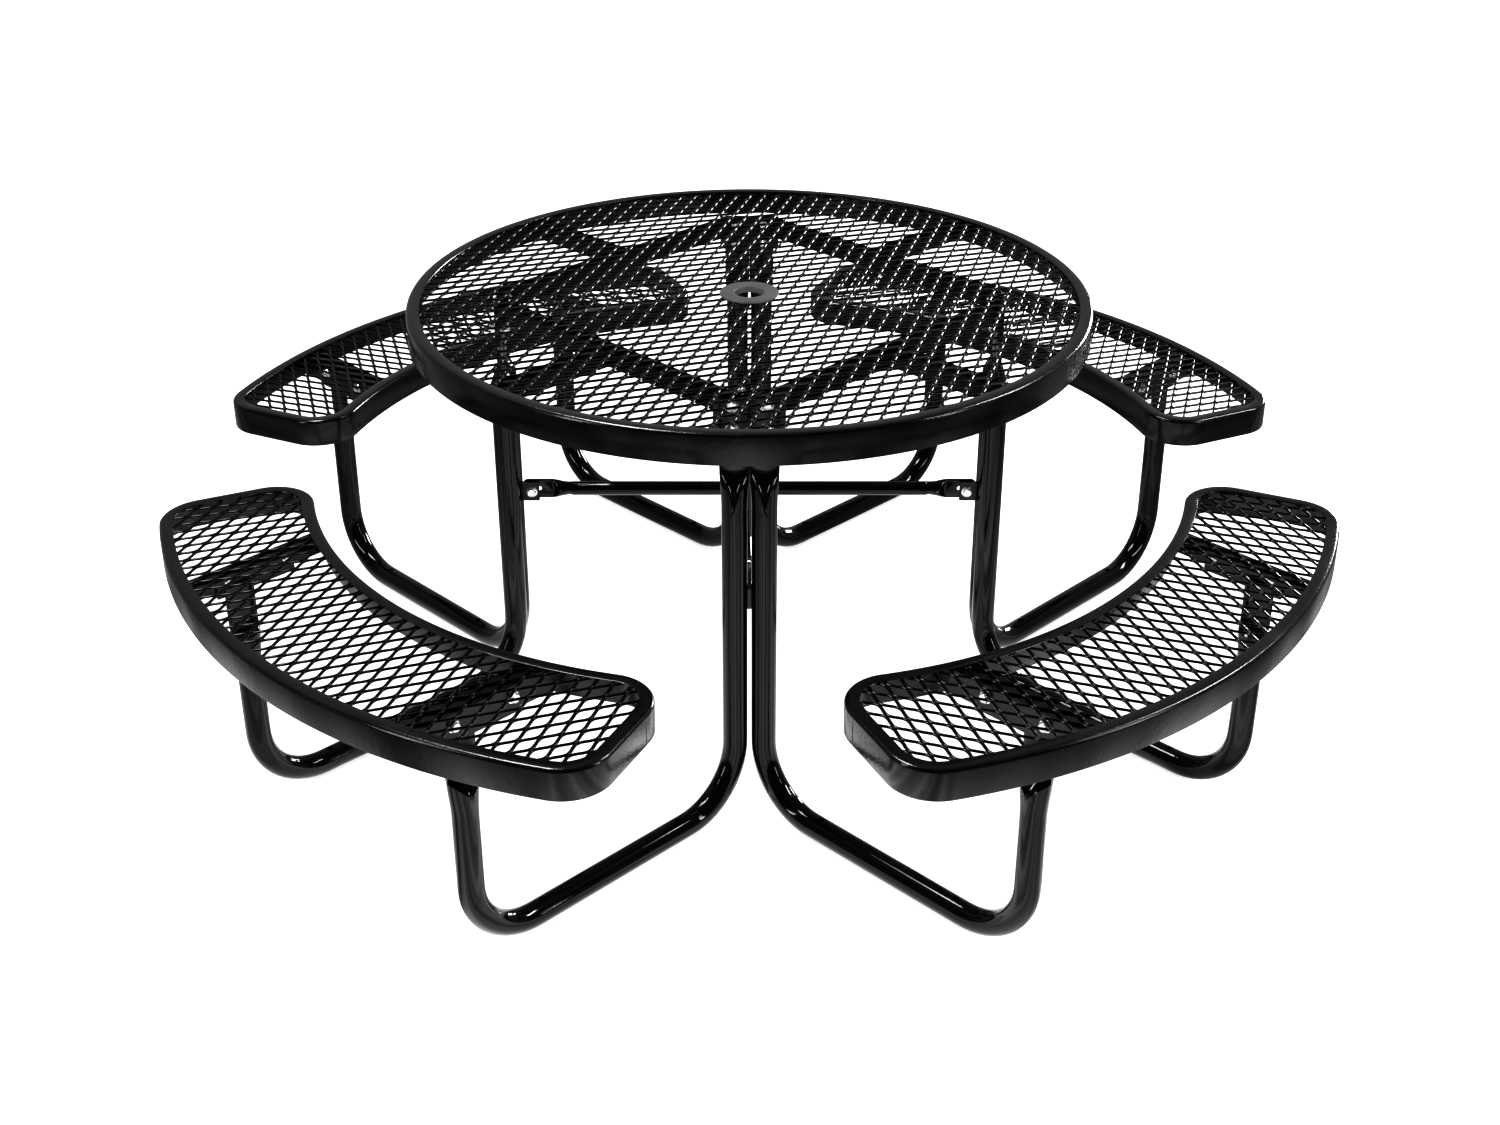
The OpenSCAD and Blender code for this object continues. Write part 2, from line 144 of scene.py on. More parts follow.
# How late a crimp's dent opens: 1 is even, and more is later.
DENT_LATENESS = 1.3
SEAT_DENT_LATENESS = 0.9
# How square the edges of a flattened end are, from 1, round, down to 0, square.
FLAT_ROUNDNESS = 0.35


# ---- mesh helpers ----

def piece(name, verts, faces, material, slot, nodes=(), crease=35):
    """A smooth-shaded mesh piece that rides on the root body and stands for the given nodes."""
    mesh = bpy.data.meshes.new(name)
    mesh.from_pydata(verts, [], faces)
    mesh.validate()
    mesh.shade_smooth()
    mesh.set_sharp_from_angle(angle=math.radians(crease))
    mesh.materials.append(material)
    obj = bpy.data.objects.new(name, mesh)
    bpy.context.collection.objects.link(obj)
    return adopt(obj, nodes)


def adopt(obj, nodes):
    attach(obj, "root")
    if nodes:
        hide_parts(*nodes)
    return obj


def skin(rings, closed=False):
    """Faces between rings of equally many points; open skins are capped at both ends."""
    count = len(rings[0])
    verts = [point for ring in rings for point in ring]
    faces = []
    for i in range(len(rings) if closed else len(rings) - 1):
        low = i * count
        high = (i + 1) % len(rings) * count
        for k in range(count):
            after = (k + 1) % count
            faces.append((low + k, low + after, high + after, high + k))
    if not closed:
        last = (len(rings) - 1) * count
        faces.append(tuple(reversed(range(count))))
        faces.append(tuple(range(last, last + count)))
    return verts, faces


def join(parts):
    """Several (verts, faces) pairs as one."""
    verts, faces = [], []
    for part_verts, part_faces in parts:
        start = len(verts)
        verts.extend(part_verts)
        faces.extend(tuple(start + i for i in face) for face in part_faces)
    return verts, faces


def moved(part, matrix):
    """A (verts, faces) pair after a matrix, turned right side out again if it mirrors."""
    verts = [tuple(matrix @ Vector(v)) for v in part[0]]
    faces = part[1]
    if matrix.determinant() < 0:
        faces = [tuple(reversed(face)) for face in faces]
    return verts, faces


def lathe(profile, steps):
    """Turns a closed profile of (radius, height) about Z."""
    rings = []
    for i in range(steps):
        angle = math.tau * i / steps
        c, s = math.cos(angle), math.sin(angle)
        rings.append([(radius * c, radius * s, height) for radius, height in profile])
    return skin(rings, closed=True)


def hex_ring(radius, z, rounded=0.0):
    """Points round a hexagon, drawn in towards a circle by rounded."""
    points = []
    for k in range(HEX_POINTS):
        angle = math.tau * k / HEX_POINTS
        local = (angle + math.pi / 6) % (math.pi / 3) - math.pi / 6
        flat = radius / math.cos(local)
        out = flat + (radius - flat) * rounded
        points.append((out * math.cos(angle), out * math.sin(angle), z))
    return points


def round_ring(radius, z):
    return hex_ring(radius, z, rounded=1.0)


def smooth_step(x):
    x = min(max(x, 0), 1)
    return x * x * (3 - 2 * x)


def turn(k):
    return Matrix.Rotation(math.radians(90 * k), 4, "Z")


def mirror_hand(hand):
    return Matrix.Diagonal((1, 1 if hand == "a" else -1, 1, 1))


# ---- materials ----

def new_material(name):
    """A material with its nodes, links, main shader and object coordinates."""
    material = bpy.data.materials.new(name)
    material.use_nodes = True
    nodes = material.node_tree.nodes
    links = material.node_tree.links
    shader = nodes["Principled BSDF"]
    coords = nodes.new("ShaderNodeTexCoord")
    return material, nodes, links, shader, coords.outputs["Object"]


def noise(nodes, links, vector, scale, detail=3, roughness=0.5):
    node = nodes.new("ShaderNodeTexNoise")
    node.inputs["Scale"].default_value = scale
    node.inputs["Detail"].default_value = detail
    node.inputs["Roughness"].default_value = roughness
    links.new(vector, node.inputs["Vector"])
    return node.outputs["Fac"]


def remap(nodes, links, value, low, high, start=0.3, end=0.7):
    node = nodes.new("ShaderNodeMapRange")
    node.inputs["From Min"].default_value = start
    node.inputs["From Max"].default_value = end
    node.inputs["To Min"].default_value = low
    node.inputs["To Max"].default_value = high
    links.new(value, node.inputs["Value"])
    return node.outputs["Result"]


def bump(nodes, links, height, distance, strength=1, normal=None):
    node = nodes.new("ShaderNodeBump")
    node.inputs["Strength"].default_value = strength
    node.inputs["Distance"].default_value = distance
    links.new(height, node.inputs["Height"])
    if normal:
        links.new(normal, node.inputs["Normal"])
    return node.outputs["Normal"]


def colour_mix(nodes, links, factor, first, second):
    node = nodes.new("ShaderNodeMix")
    node.data_type = "RGBA"
    links.new(factor, node.inputs["Factor"])
    node.inputs["A"].default_value = (*first, 1)
    node.inputs["B"].default_value = (*second, 1)
    return node.outputs["Result"]


def coated_steel(name, shade, ior, gloss, peel, peel_size, blotch):
    """Black coating of a given shade and refraction, uneven in gloss, with an orange peel of the given
    depth and size over slow blotches."""
    material, nodes, links, shader, coords = new_material(name)
    cloud = noise(nodes, links, coords, scale=14, detail=4)
    fine = noise(nodes, links, coords, scale=1 / peel_size, detail=2)
    broad = noise(nodes, links, coords, scale=0.25 / peel_size, detail=3)
    dark = (0.6 * shade, 0.6 * shade, 0.63 * shade)
    light = (1.4 * shade, 1.4 * shade, 1.48 * shade)
    links.new(colour_mix(nodes, links, cloud, dark, light), shader.inputs["Base Color"])
    links.new(remap(nodes, links, cloud, *gloss), shader.inputs["Roughness"])
    slow = bump(nodes, links, broad, blotch)
    links.new(bump(nodes, links, fine, peel, normal=slow), shader.inputs["Normal"])
    shader.inputs["IOR"].default_value = ior
    return material


def bright_zinc():
    """Zinc plating on steel: bluish grey metal with fine clouding and a fine grain."""
    material, nodes, links, shader, coords = new_material("bright_zinc")
    cloud = noise(nodes, links, coords, scale=180, detail=4)
    tint = colour_mix(nodes, links, cloud, (0.58, 0.59, 0.61), (0.84, 0.85, 0.86))
    links.new(tint, shader.inputs["Base Color"])
    links.new(remap(nodes, links, cloud, low=0.2, high=0.38), shader.inputs["Roughness"])
    grain = noise(nodes, links, coords, scale=900, detail=2)
    links.new(bump(nodes, links, grain, distance=0.00006), shader.inputs["Normal"])
    shader.inputs["Metallic"].default_value = 1
    return material


def studio_floor():
    """Pale matt sweep with a barely visible unevenness. A glow round the table keeps its shadows faint, and
    the coating sees a pool of light in front of the table that fades outwards."""
    material, nodes, links, shader, coords = new_material("studio_floor")
    cloud = noise(nodes, links, coords, scale=0.8, detail=2)
    tint = colour_mix(nodes, links, cloud, (0.86, 0.86, 0.86), (0.88, 0.88, 0.88))
    links.new(tint, shader.inputs["Base Color"])
    shader.inputs["Roughness"].default_value = 0.9
    far_out = distance_from(nodes, links, coords, (0, 0, 0))
    glow = remap(nodes, links, far_out, low=0.42, high=0.05, start=0.8, end=3.5)
    shader.inputs["Emission Color"].default_value = (1, 1, 1, 1)
    links.new(glow, shader.inputs["Emission Strength"])
    pool = nodes.new("ShaderNodeEmission")
    reach = distance_from(nodes, links, coords, photo_place(0, -0.9, 0))
    shine = remap(nodes, links, reach, low=1.15, high=0.2, start=0.5, end=1.7)
    # The pool's light is painted in fanned stripes, which the upright tubes show as streaked painted
    # reflections.
    striped_shine = nodes.new("ShaderNodeMath")
    striped_shine.operation = "MULTIPLY"
    links.new(shine, striped_shine.inputs[0])
    links.new(fan_light_stripes(nodes, links, coords, photo_place(0, -PAIR_R, 0)), striped_shine.inputs[1])
    links.new(striped_shine.outputs["Value"], pool.inputs["Strength"])
    paths = nodes.new("ShaderNodeLightPath")
    either = nodes.new("ShaderNodeMixShader")
    links.new(paths.outputs["Is Glossy Ray"], either.inputs["Fac"])
    links.new(shader.outputs["BSDF"], either.inputs[1])
    links.new(pool.outputs["Emission"], either.inputs[2])
    links.new(either.outputs["Shader"], nodes["Material Output"].inputs["Surface"])
    return material


def fan_light_stripes(nodes, links, coords, place):
    """Stripes of painted light that fan out over the floor from a place, seen only in reflections. Upright
    tubes mirror them as fine painted streaks.
    """
    away = nodes.new("ShaderNodeVectorMath")
    away.operation = "SUBTRACT"
    away.inputs[1].default_value = place
    links.new(coords, away.inputs[0])
    split = nodes.new("ShaderNodeSeparateXYZ")
    links.new(away.outputs["Vector"], split.inputs["Vector"])
    angle = nodes.new("ShaderNodeMath")
    angle.operation = "ARCTAN2"
    links.new(split.outputs["Y"], angle.inputs[0])
    links.new(split.outputs["X"], angle.inputs[1])
    around = nodes.new("ShaderNodeCombineXYZ")
    links.new(angle.outputs["Value"], around.inputs["X"])
    streaks = noise(nodes, links, around.outputs["Vector"], scale=3, detail=2, roughness=0.7)
    return remap(nodes, links, streaks, low=0.3, high=2.3, start=0.38, end=0.62)


def distance_from(nodes, links, coords, place):
    node = nodes.new("ShaderNodeVectorMath")
    node.operation = "DISTANCE"
    node.inputs[1].default_value = place
    links.new(coords, node.inputs[0])
    return node.outputs["Value"]


RIM_COAT = coated_steel("rim_coat", shade=0.002, ior=1.36, gloss=(0.12, 0.24),
                        peel=0.00007, peel_size=0.0022, blotch=0.0003)
MESH_COAT = coated_steel("mesh_coat", shade=0.001, ior=1.24, gloss=(0.1, 0.18),
                         peel=0.00006, peel_size=0.0025, blotch=0.00005)
TUBE_COAT = coated_steel("tube_coat", shade=0.002, ior=1.34, gloss=(0.04, 0.1),
                         peel=0.00001, peel_size=0.003, blotch=0.00006)
COLLAR_COAT = coated_steel("collar_coat", shade=0.085, ior=1.36, gloss=(0.38, 0.5),
                           peel=0.00005, peel_size=0.0015, blotch=0.00003)
ZINC = bright_zinc()


# ---- rims ----

def rim_profile(low, high):
    """Closed section of a rolled rim as (inset, height): wall, rolled corner, flange and underside."""
    lip = 0.0011
    bend = 7
    roll = RIM_CORNER - SHEET
    points = [(lip, low), (lip * 0.3, low + lip * 0.3), (0, low + lip)]
    for k in range(bend + 1):
        angle = math.pi - math.pi / 2 * k / bend
        inset = RIM_CORNER * (1 + math.cos(angle))
        points.append((inset, high - RIM_CORNER * (1 - math.sin(angle))))
    points += [(FLANGE_W - lip, high), (FLANGE_W - lip * 0.3, high - lip * 0.3), (FLANGE_W, high - lip)]
    points += [(FLANGE_W - lip * 0.3, high - SHEET + lip * 0.2), (FLANGE_W - lip, high - SHEET)]
    for k in range(bend + 1):
        angle = math.pi / 2 + math.pi / 2 * k / bend
        points.append((RIM_CORNER + roll * math.cos(angle), high - RIM_CORNER + roll * math.sin(angle)))
    points += [(SHEET, low + lip), (SHEET - lip * 0.3, low + lip * 0.3), (SHEET - lip, low)]
    return points


def weld_bead(place, tangent, out, low, high, width):
    """A ground-down vertical weld on a wall: a low wavy ridge that fades at both ends."""
    rings = []
    steps = 26
    proud = 0.0005
    buried = 0.0012
    for i in range(steps + 1):
        share = i / steps
        wave = 0.75 + 0.25 * math.sin(share * 31) * math.cos(share * 17)
        fade = min(1, 6 * share, 6 * (1 - share))
        half = width / 2 * wave
        height = low + (high - low) * share
        ring = []
        for k in range(7):
            angle = math.pi * k / 6
            across = half * math.cos(angle)
            depth = proud * fade * math.sin(angle) * wave
            ring.append(place + tangent * across + out * depth + Vector((0, 0, height)))
        ring.append(place - tangent * half - out * buried + Vector((0, 0, height)))
        ring.append(place + tangent * half - out * buried + Vector((0, 0, height)))
        rings.append([tuple(point) for point in ring])
    return skin(rings)


def top_rim():
    low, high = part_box("top_rim")
    radius = high[0]
    profile = [(radius - inset, height) for inset, height in rim_profile(low[2], high[2])]
    parts = [lathe(profile, 288)]
    for degrees in TOP_WELDS:
        angle = math.radians(degrees)
        out = Vector((math.cos(angle), math.sin(angle), 0))
        tangent = Vector((-out.y, out.x, 0))
        foot = low[2] + WELD_FOOT
        parts.append(weld_bead(out * radius, tangent, out, foot, high[2] - RIM_CORNER, width=0.005))
    piece("top_rim_rolled", *join(parts), RIM_COAT, "rim_coating", ["top_rim"])


def arc(centre, radius, start, end, steps):
    """Points of an arc with their outward normals, as (x, y, nx, ny)."""
    points = []
    sign = 1 if radius > 0 else -1
    for k in range(steps + 1):
        angle = start + (end - start) * k / steps
        c, s = math.cos(angle), math.sin(angle)
        points.append((centre[0] + abs(radius) * c, centre[1] + abs(radius) * s, sign * c, sign * s))
    return points


def end_line_cross(radius, inset):
    """Where a seat's end line, moved in by inset, crosses a circle about the table's centre."""
    slope = math.tan(SEAT_END_ANGLE)
    start = SEAT_HALF_L - inset / math.cos(SEAT_END_ANGLE) - slope * END_LINE_R
    a = 1 + slope * slope
    b = 2 * slope * start
    c = start * start - radius * radius
    r = (-b + math.sqrt(b * b - 4 * a * c)) / (2 * a)
    return Vector((r, start + slope * r))


END_NORMAL = math.pi / 2 + SEAT_END_ANGLE
OUTER_CORNER = end_line_cross(SEAT_OUTER_R - SEAT_CORNER_R, SEAT_CORNER_R)
INNER_CORNER = end_line_cross(SEAT_INNER_R + SEAT_CORNER_R, SEAT_CORNER_R)
OUTER_ANGLE = math.atan2(OUTER_CORNER.y, OUTER_CORNER.x)
INNER_ANGLE = math.atan2(INNER_CORNER.y, INNER_CORNER.x)


def seat_outline():
    """The plan of the seat on +X, once round, as (x, y, nx, ny)."""
    half = arc((0, 0), SEAT_OUTER_R, 0, OUTER_ANGLE, 40)
    half += arc(OUTER_CORNER, SEAT_CORNER_R, OUTER_ANGLE, END_NORMAL, 16)[1:]
    half += arc(INNER_CORNER, SEAT_CORNER_R, END_NORMAL, INNER_ANGLE + math.pi, 16)
    half += arc((0, 0), -SEAT_INNER_R, INNER_ANGLE, 0, 32)[1:]
    other = [(x, -y, nx, -ny) for x, y, nx, ny in reversed(half[1:-1])]
    return half + other


def seat_rim(k):
    side = SIDES[k]
    low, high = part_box(f"seat_rim_{side}")
    rings = []
    for x, y, nx, ny in seat_outline():
        profile = rim_profile(low[2], high[2])
        rings.append([(x - nx * inset, y - ny * inset, height) for inset, height in profile])
    parts = [skin(rings, closed=True)]
    out = Vector((math.cos(END_NORMAL), math.sin(END_NORMAL), 0))
    tangent = Vector((-out.y, out.x, 0))
    seam = Vector((*INNER_CORNER, 0)) + out * SEAT_CORNER_R - tangent * SEAT_WELD_PAST_CORNER
    bead = weld_bead(seam, tangent, out, low[2] + WELD_FOOT, high[2] - RIM_CORNER, width=0.004)
    for hand in HANDS:
        parts.append(moved(bead, mirror_hand(hand)))
    part = moved(join(parts), turn(k))
    piece(f"seat_rim_rolled_{side}", *part, RIM_COAT, "rim_coating", [f"seat_rim_{side}"])


# ---- expanded mesh ----

def strand_wave(share):
    """Sideways place of a strand along one long pitch, from -1 to 1, straight at the bonds and between."""
    slope = 1.4
    sharp = 4
    zigzag = slope * (4 * abs(share % 1 - 0.5) - 1)
    top = slope / (1 + slope ** sharp) ** (1 / sharp)
    return zigzag / (1 + abs(zigzag) ** sharp) ** (1 / sharp) / top


def strand_tube(path, z, thickness):
    """A closed bar of rounded section along points (x, y), flat in the sheet."""
    rings = []
    last = len(path) - 1
    for i, (x, y) in enumerate(path):
        before = path[max(i - 1, 0)]
        after = path[min(i + 1, last)]
        along = Vector((after[0] - before[0], after[1] - before[1])).normalized()
        ring = []
        for k in range(STRAND_SIDES):
            angle = math.tau * (k + 0.5) / STRAND_SIDES
            across = STRAND_W / 2 * COATED * math.cos(angle)
            rise = thickness / 2 * COATED * math.sin(angle)
            ring.append((x - along.y * across, y + along.x * across, z + rise))
        rings.append(ring)
    return skin(rings)


def strands(inside, centre, half_long, half_short, z, thickness):
    """Wavy strands along x, side by side along y, wherever inside(x, y) holds."""
    swing = MESH_SHORT / 4 - STRAND_W / 2 + BOND_OVERLAP
    step = MESH_LONG / RINGS_PER_PITCH
    count = int(half_long / step)
    parts = []
    rows = int(half_short / (MESH_SHORT / 2))
    for row in range(-rows, rows + 1):
        phase = 0 if row % 2 == 0 else 0.5
        run = []
        for i in range(-count, count + 2):
            x = centre + i * step
            y = (row + 0.5) * MESH_SHORT / 2 + swing * strand_wave(i / RINGS_PER_PITCH + phase)
            if i <= count and inside(x, y):
                run.append((x, y))
                continue
            if len(run) > 2:
                parts.append(strand_tube(run, z, thickness))
            run = []
    return join(parts)


def top_mesh():
    low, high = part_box("top_mesh")
    edge = high[0] - STRAND_W / 2
    hub = POLE_BORE_R + SLEEVE_WALL + STRAND_W / 2

    def inside(x, y):
        return hub < math.hypot(x, y) < edge

    z = (low[2] + high[2]) / 2
    part = strands(inside, 0, high[0], high[0], z, high[2] - low[2])
    piece("top_mesh_strands", *moved(part, turn(1)), MESH_COAT, "mesh_coating", ["top_mesh"], crease=60)


def in_seat(x, y, margin):
    """Whether a point is inside the plan of the seat on +X by a margin."""
    y = abs(y)
    radius = math.hypot(x, y)
    slope = math.tan(SEAT_END_ANGLE)
    line = (SEAT_HALF_L + slope * (x - END_LINE_R) - y) * math.cos(SEAT_END_ANGLE)
    if radius > SEAT_OUTER_R - margin or radius < SEAT_INNER_R + margin or line < margin:
        return False
    corners = [(OUTER_CORNER, OUTER_ANGLE, END_NORMAL), (INNER_CORNER, END_NORMAL, INNER_ANGLE + math.pi)]
    for corner, start, end in corners:
        dx, dy = x - corner.x, y - corner.y
        angle = math.atan2(dy, dx) % math.tau
        if start < angle < end and math.hypot(dx, dy) > SEAT_CORNER_R - margin:
            return False
    return True


def seat_mesh():
    low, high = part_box("seat_mesh_px")
    margin = SHEET + STRAND_W / 2
    z = (low[2] + high[2]) / 2
    centre = (SEAT_INNER_R + SEAT_OUTER_R) / 2
    bow = 0.2
    reach = (SEAT_OUTER_R - SEAT_INNER_R) / 2 + bow

    def inside(x, y):
        return in_seat(x, y, margin)

    part = strands(inside, centre, reach, high[1], z, high[2] - low[2])
    for k, side in enumerate(SIDES):
        piece(f"seat_mesh_strands_{side}", *moved(part, turn(k)), MESH_COAT, "mesh_coating",
              [f"seat_mesh_{side}"], crease=60)


# ---- umbrella collar ----

def umbrella_collar():
    low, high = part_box("umbrella_collar")
    outer = high[0]
    bore = POLE_BORE_R
    sleeve = bore + SLEEVE_WALL
    lip = 0.0012
    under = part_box("top_mesh")[1][2]
    top = high[2]
    profile = [(outer, under), (outer, top - lip), (outer - lip * 0.3, top - lip * 0.3), (outer - lip, top)]
    profile += [(bore + lip * 1.6, top), (bore + lip * 0.45, top - lip * 0.35), (bore, top - lip * 1.2)]
    profile += [(bore, low[2]), (sleeve, low[2]), (sleeve, under)]
    piece("collar_ring", *lathe(profile, 96), COLLAR_COAT, "rim_coating", ["umbrella_collar"])


# ---- legs ----

def crimp_ring(dent, widen, flatten, groove, radius, flat_w, flat_t):
    """Section of a crimped tube as (out, side) points. The outer wall is folded in between the angles -dent
    and dent, with a groove along the fold; widen and flatten go from 0, round, to 1, the flat end."""
    half_w = radius + (flat_w / 2 - radius) * widen
    points = []
    for k in range(RING_POINTS):
        in_dent = k <= DENT_POINTS
        if in_dent:
            angle = -dent + 2 * dent * k / DENT_POINTS
        else:
            rest = RING_POINTS - DENT_POINTS
            angle = dent + (math.tau - 2 * dent) * (k - DENT_POINTS) / rest
        c, s = math.cos(angle), math.sin(angle)
        out = radius * c
        if in_dent and groove > 0:
            across = 1 - (s / math.sin(dent)) ** 2
            out = radius * (2 * math.cos(dent) - c) - groove * across * (1 - flatten)
        flat = flat_t / 2 * math.copysign(abs(c) ** FLAT_ROUNDNESS, c)
        out = out * (1 - flatten) + flat * flatten
        points.append((out, half_w * s))
    return points


def dent_angle(share, power):
    """Half angle of a crimp's dent, from a point to a right angle; a higher power opens it later."""
    point = 0.03
    return point + (math.pi / 2 - point) * math.asin(min(share, 1) ** power) / (math.pi / 2)


def tube_path(corners):
    """Centre points and directions along a path of straight runs and quarter bends in the xz plane."""
    points = []
    for kind, data in corners:
        if kind == "line":
            (x0, z0), (x1, z1), steps = data
            direction = Vector((x1 - x0, z1 - z0)).normalized()
            for k in range(steps + 1):
                share = k / steps
                points.append((x0 + (x1 - x0) * share, z0 + (z1 - z0) * share, direction))
        else:
            (cx, cz), start, steps = data
            for k in range(1, steps):
                angle = start + math.pi / 2 * k / steps
                c, s = math.cos(angle), math.sin(angle)
                points.append((cx + BEND_R * c, cz + BEND_R * s, Vector((-s, c))))
    return points


def leg_mesh():
    """The leg of the +X seat on the +Y hand, before its anchor holes are drilled."""
    leg_r = (PAIR_R + PAIR_GAP / 2) / math.sqrt(2)
    leg_t = (PAIR_R - PAIR_GAP / 2) / math.sqrt(2)
    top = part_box("leg_px_a")[1][2]
    seat_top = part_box("seat_angle_px_a")[1][2] - SEAT_LEG_BELOW_ANGLE
    bend_z = TUBE_R + BEND_R
    even = math.pi * DENT_POINTS / RING_POINTS
    steps = 26
    rings = []

    def top_sections():
        """Heights and sections of the table end, from the round tube up."""
        made = []
        for k in range(-5, steps + 1):
            share = max(k, 0) / steps
            lead = max(-k, 0) / 6
            dent = dent_angle(share, DENT_LATENESS) + even * lead
            groove = GROOVE * TUBE_R * smooth_step(6 * share)
            flatten = smooth_step((share - 0.5) / 0.5)
            ring = crimp_ring(dent, smooth_step(share), flatten, groove, TUBE_R, CRUSH_W, CRUSH_T)
            made.append((TOP_CRIMP_Z + CRIMP_L * share - TOP_CRIMP_LEAD * lead, ring))
        return made

    def seat_sections():
        """Heights and sections of the seat end: the tube widens first, and the dent opens suddenly."""
        made = []
        full = SEAT_CRIMP_Z + SEAT_CRIMP_L
        for k in range(-12, steps + 1):
            lead = max(-k, 0) / 12
            share = max(k, 0) / steps
            z = SEAT_CRIMP_Z + (full - SEAT_CRIMP_Z) * share - (SEAT_CRIMP_Z - SEAT_WIDEN_Z) * lead
            dent = dent_angle(2 * share, SEAT_DENT_LATENESS) + lead * (even - dent_angle(0, 1))
            groove = SEAT_GROOVE * TUBE_R * smooth_step(3 * share)
            flatten = smooth_step((share - 0.4) / 0.6)
            widen = smooth_step((z - SEAT_WIDEN_Z) / (full - SEAT_WIDEN_Z) * 1.25)
            made.append((z, crimp_ring(dent, widen, flatten, groove, TUBE_R, SEAT_CRUSH_W, CRUSH_T)))
        return made

    def cut_end(made, z_top, x, outward):
        """The flat end and its eased edge, then every ring turned to face outward and put in place."""
        flat = made[-1][1]
        made.append((z_top - 0.001, flat))
        made.append((z_top, [(u * 0.8, v * 0.985) for u, v in flat]))
        c, s = math.cos(outward), math.sin(outward)
        turned = []
        for z, ring in made:
            turned.append([(x + u * c - v * s, leg_t + u * s + v * c, z) for u, v in ring])
        return turned

    start_angle = math.radians(45)
    rings += reversed(cut_end(top_sections(), top, leg_r, start_angle))
    runs = tube_path([
        ("line", ((leg_r, TOP_CRIMP_Z - 0.04), (leg_r, bend_z), 6)),
        ("bend", ((leg_r + BEND_R, bend_z), math.pi, 14)),
        ("line", ((leg_r + BEND_R, TUBE_R), (SEAT_UPRIGHT_R - BEND_R, TUBE_R), 12)),
        ("bend", ((SEAT_UPRIGHT_R - BEND_R, bend_z), -math.pi / 2, 14)),
        ("line", ((SEAT_UPRIGHT_R, bend_z), (SEAT_UPRIGHT_R, SEAT_WIDEN_Z - 0.01), 3)),
    ])
    for i, (x, z, direction) in enumerate(runs):
        # The ring's first point turns along the path, from the top crimp's outward side to the seat's.
        share = i / (len(runs) - 1)
        offset = start_angle + (math.pi / 2 - start_angle) * smooth_step(share)
        ring = []
        for u, v in crimp_ring(even, 0, 0, 0, TUBE_R, CRUSH_W, CRUSH_T):
            angle = math.atan2(v, u) + offset
            across = TUBE_R * math.cos(angle)
            y = leg_t + TUBE_R * math.sin(angle)
            ring.append((x - direction.y * across, y, z + direction.x * across))
        rings.append(ring)
    # After the second bend the path's inward side points to -x, so the ring runs the other way round.
    for ring in cut_end(seat_sections(), seat_top, 0, math.pi / 2):
        rings.append([(SEAT_UPRIGHT_R - x, y, z) for x, y, z in ring])
    return skin(rings), leg_t


def drilled(name, part, holes, radius, depth):
    """A mesh with round holes cut through it; each hole is a matrix whose Z axis is the drill."""
    cutters = []
    for hole in holes:
        rings = [round_ring(radius, z) for z in (-depth / 2, depth / 2)]
        cutters.append(moved(skin(rings), hole))
    scratch = []
    for label, (verts, faces) in (("body", part), ("cutter", join(cutters))):
        mesh = bpy.data.meshes.new(f"{name}_{label}")
        mesh.from_pydata(verts, [], faces)
        obj = bpy.data.objects.new(mesh.name, mesh)
        bpy.context.collection.objects.link(obj)
        scratch.append(obj)
    cut = scratch[0].modifiers.new("holes", "BOOLEAN")
    cut.object = scratch[1]
    cut.solver = "EXACT"
    bpy.context.view_layer.update()
    graph = bpy.context.evaluated_depsgraph_get()
    mesh = bpy.data.meshes.new_from_object(scratch[0].evaluated_get(graph))
    verts = [tuple(v.co) for v in mesh.vertices]
    faces = [tuple(p.vertices) for p in mesh.polygons]
    for obj in scratch:
        bpy.data.objects.remove(obj)
    return verts, faces


def legs():
    part, leg_t = leg_mesh()
    holes = [Matrix.Translation((r, leg_t, TUBE_R)) for r in ANCHORS]
    part = drilled("leg", part, holes, ANCHOR_R, 4 * TUBE_R)
    for k, side in enumerate(SIDES):
        for hand in HANDS:
            name = f"{side}_{hand}"
            made = moved(part, turn(k) @ mirror_hand(hand))
            piece(f"bent_leg_{name}", *made, TUBE_COAT, "tube_coating", [f"leg_{name}"], crease=28)


# ---- braces ----

